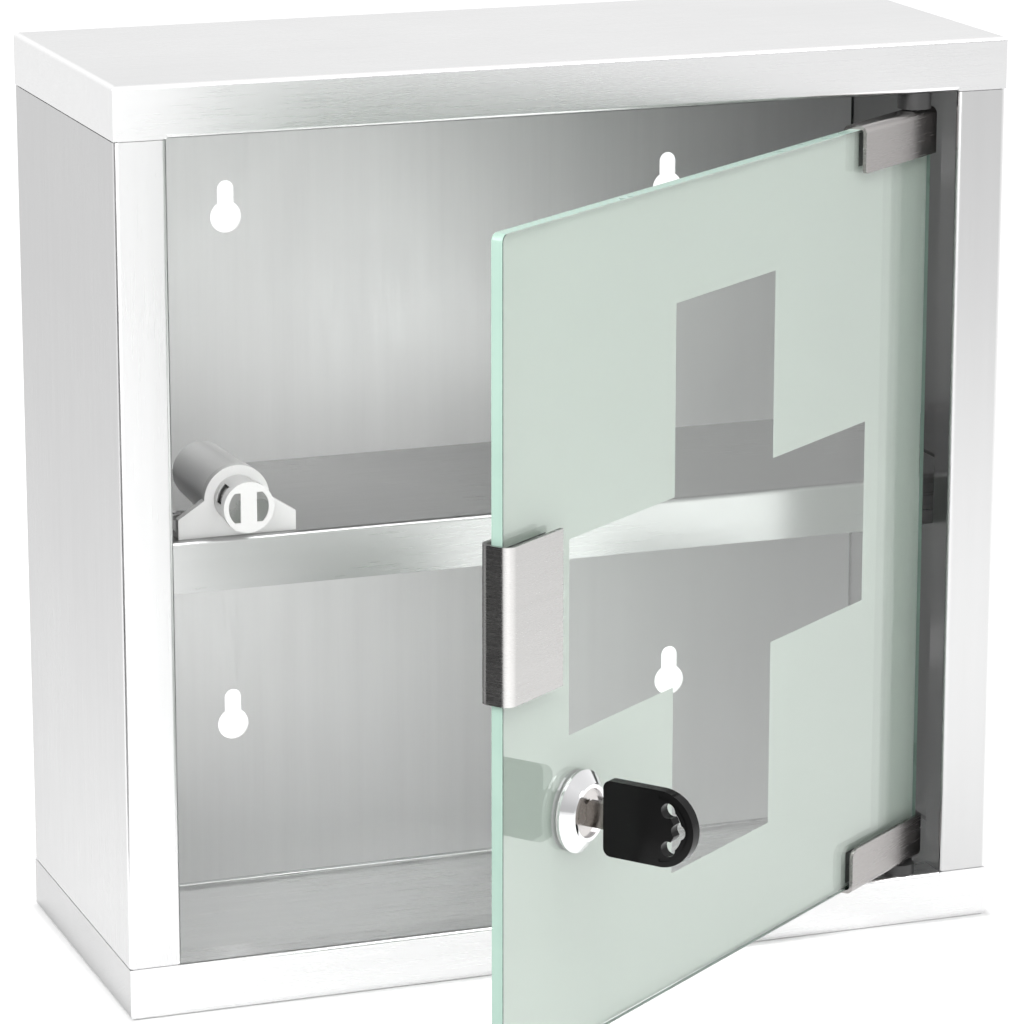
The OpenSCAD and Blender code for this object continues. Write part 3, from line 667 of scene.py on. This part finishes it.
def make_pane():
    """The glass with its polished arris, in place of the plain solid."""
    bm = bmesh.new()
    edges = pane_outlines(bm, 0.0, GLASS_LOW.y, False)
    bmesh.ops.triangle_fill(bm, edges=edges, use_beauty=True)
    thicken(bm, GLASS_HIGH.y - GLASS_LOW.y)
    rims = [e for e in bm.edges if len(e.link_faces) == 2 and e.calc_face_angle() > SHARP_EDGE]
    bmesh.ops.bevel(bm, geom=rims, offset=ARRIS, segments=2, profile=0.5, affect="EDGES", material=-1)
    bm.normal_update()
    for face in bm.faces:
        flat = abs(face.normal.dot(DOOR_IN)) > FLAT_FACE
        face.material_index = FLAT_SLOT if flat else RIM_SLOT
    pane = make_piece("glass_pane", bm, GLASS, "door")
    pane.data.materials.append(GLASS_RIM)
    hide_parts("door_glass")


def make_etching():
    """The etched face behind the pane, with the cross left clear."""
    bm = bmesh.new()
    edges = pane_outlines(bm, ETCH_MARGIN, GLASS_HIGH.y + ETCH_GAP, True)
    bmesh.ops.triangle_fill(bm, edges=edges, use_beauty=True)
    thicken(bm, ETCH_DEPTH)
    make_piece("glass_etching", bm, ETCHING, "door")


# Corners closer than this are one corner
WELD = 0.1 * MICRON


def make_spring():
    """The catch's spring, a piece of its own that rides on the cabinet."""
    bm = bmesh.new()
    bm.from_mesh(frame["nodes"]["catch_spring"].data)
    bmesh.ops.remove_doubles(bm, verts=bm.verts, dist=WELD)
    spring = make_piece("push_spring", bm, ZINC, "cabinet")
    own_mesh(spring)
    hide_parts("catch_spring")


make_pane()
make_etching()
make_spring()


# --- Floor, light and camera ----------------------------------------------------------------

# Levels of the studio: at the horizon in front and behind, and overhead
HORIZON_LOW = 0.45
HORIZON_HIGH = 1.25
ZENITH = 1.05
# Level direction from the soft end of the horizon to the bright one, and how far it is felt
STUDIO_LEAN = (0.6, 0.6, 0.0)
LEAN_REACH = 0.85
# Heights, of 1, from which the horizon gives way to what is overhead and at which it has
RISE_START = 0.1
RISE_END = 0.75
# The floor: half its side and its two greys. It glows most round a place in front of the cabinet.
FLOOR_SIZE = 6.0
FLOOR_DARK = grey(0.54)
FLOOR_LIGHT = grey(0.56)
GLOW_CENTRE = (0.1, -0.35, 0.0)
GLOW_NEAR = 0.72
GLOW_FAR = 0.56
GLOW_START = 0.1
GLOW_END = 1.1
# Share of the glow under the cabinet, and how far outside its base the floor is plain again
CONTACT_SHARE = 0.12
CONTACT_REACH = 6 * MM
# The dark card lies on the floor to the left and is bent up at its left end
CARD_LEFT = -0.6
CARD_RIGHT = -0.29
CARD_NEAR = -0.45
CARD_FAR = -0.05
CARD_REST = 0.002
CARD_TOP = 0.27
CARD_BLACK = (0.01, 0.01, 0.01, 1.0)
# The camera: its place in metres, its heading from +Y towards +X and its tilt below level
CAMERA_PLACE = (-0.5183, -1.4116, 0.5234)
CAMERA_HEADING = math.radians(20.13)
CAMERA_TILT = math.radians(14.31)
CAMERA_LENS = 163.68
SENSOR_WIDTH = 36.0


def contact_shade(tree, place):
    """From dark under the cabinet to 1 a little way outside its base."""
    size = add(tree, "ShaderNodeVectorMath", operation="ABSOLUTE")
    tree.links.new(place.outputs["Object"], size.inputs[0])
    outside = add(tree, "ShaderNodeVectorMath", operation="SUBTRACT")
    outside.inputs[1].default_value = (cad_high[0], cad_high[1], 0.0)
    tree.links.new(size.outputs[0], outside.inputs[0])
    clipped = add(tree, "ShaderNodeVectorMath", operation="MAXIMUM")
    clipped.inputs[1].default_value = ORIGIN
    tree.links.new(outside.outputs[0], clipped.inputs[0])
    away = distance_from(tree, clipped.outputs[0], ORIGIN)
    return spread(tree, away, 0.0, CONTACT_REACH, low=CONTACT_SHARE, kind="SMOOTHSTEP")


def make_floor():
    """A plain pale floor, with a soft glow in front and a thin shade of contact round the cabinet."""
    bm = bmesh.new()
    bmesh.ops.create_grid(bm, x_segments=8, y_segments=8, size=FLOOR_SIZE)
    material, shader = new_material("studio_floor")
    tree = material.node_tree
    marks = place_group(tree, MARKS, Clouds=1.5, Specks=300.0)
    tint(tree, marks.outputs["Cloud"], shader.inputs["Base Color"], FLOOR_DARK, FLOOR_LIGHT)
    shader.inputs["Roughness"].default_value = 0.7
    shader.inputs["Specular IOR Level"].default_value = 0.0
    place = add(tree, "ShaderNodeTexCoord")
    away = distance_from(tree, place.outputs["Object"], GLOW_CENTRE)
    glow = spread(tree, away, GLOW_START, GLOW_END, GLOW_NEAR, GLOW_FAR, kind="SMOOTHSTEP")
    shaded = product(tree, glow, contact_shade(tree, place))
    tree.links.new(shaded, shader.inputs["Emission Strength"])
    shader.inputs["Emission Color"].default_value = WHITE
    new_object("studio_floor", bm, material)


def make_dark_card():
    """A black card that shows only as a reflection, in the handle's edge, the key and the folds."""
    profile = [(CARD_RIGHT, CARD_REST), (CARD_LEFT, CARD_REST), (CARD_LEFT, CARD_TOP)]
    bm = bmesh.new()
    near = [bm.verts.new((x, CARD_NEAR, z)) for x, z in profile]
    far = [bm.verts.new((x, CARD_FAR, z)) for x, z in profile]
    for i in range(len(profile) - 1):
        bm.faces.new((near[i], near[i + 1], far[i + 1], far[i]))
    material, shader = new_material("dark_card")
    shader.inputs["Base Color"].default_value = CARD_BLACK
    shader.inputs["Roughness"].default_value = 0.9
    card = new_object("dark_card", bm, material)
    card.visible_camera = False
    card.visible_diffuse = False
    card.visible_shadow = False


def make_world():
    """A white studio: brightest at the horizon behind and to the right, softest in front to the left."""
    world = bpy.data.worlds.new("studio")
    bpy.context.scene.world = world
    world.use_nodes = True
    tree = world.node_tree
    background = tree.nodes["Background"]
    toward = add(tree, "ShaderNodeTexCoord").outputs["Generated"]
    lean = reach_along(tree, toward, STUDIO_LEAN)
    level = spread(tree, lean, -LEAN_REACH, LEAN_REACH, HORIZON_LOW, HORIZON_HIGH)
    height = reach_along(tree, toward, (0.0, 0.0, 1.0))
    rise = spread(tree, height, RISE_START, RISE_END, kind="SMOOTHSTEP")
    blend = add(tree, "ShaderNodeMix", data_type="FLOAT", B=ZENITH)
    tree.links.new(rise, blend.inputs["Factor"])
    tree.links.new(level, blend.inputs["A"])
    tree.links.new(blend.outputs[0], background.inputs["Strength"])
    background.inputs["Color"].default_value = WHITE


def add_softbox(name, place, target, width, height, watts):
    """A soft rectangular light at a place, aimed at a target."""
    light = bpy.data.lights.new(name, "AREA")
    light.shape = "RECTANGLE"
    light.size = width
    light.size_y = height
    light.energy = watts
    lamp = bpy.data.objects.new(name, light)
    lamp.visible_camera = False
    bpy.context.scene.collection.objects.link(lamp)
    lamp.location = place
    aim = Vector(target) - Vector(place)
    lamp.rotation_euler = aim.to_track_quat("-Z", "Y").to_euler()


def make_camera():
    """The camera in front, to the left and a little above."""
    data = bpy.data.cameras.new("camera")
    data.sensor_fit = "AUTO"
    data.sensor_width = SENSOR_WIDTH
    data.lens = CAMERA_LENS
    data.clip_start = 0.05
    data.clip_end = 50.0
    camera = bpy.data.objects.new("camera", data)
    bpy.context.scene.collection.objects.link(camera)
    camera.location = CAMERA_PLACE
    camera.rotation_euler = (math.radians(90.0) - CAMERA_TILT, 0.0, -CAMERA_HEADING)
    bpy.context.scene.camera = camera


make_floor()
make_dark_card()
make_world()
add_softbox("front_softbox", (0.25, -0.65, 0.8), (0.08, -0.25, 0.0), width=0.6, height=0.4, watts=4.0)
add_softbox("left_softbox", (-0.55, -0.3, 0.6), (0.0, -0.13, 0.14), width=0.5, height=0.3, watts=5.5)
add_softbox("fill_softbox", (-0.35, -0.9, 0.4), (-0.02, 0.05, 0.1), width=0.9, height=0.7, watts=3.2)
make_camera()
bpy.context.scene.view_settings.view_transform = "Standard"
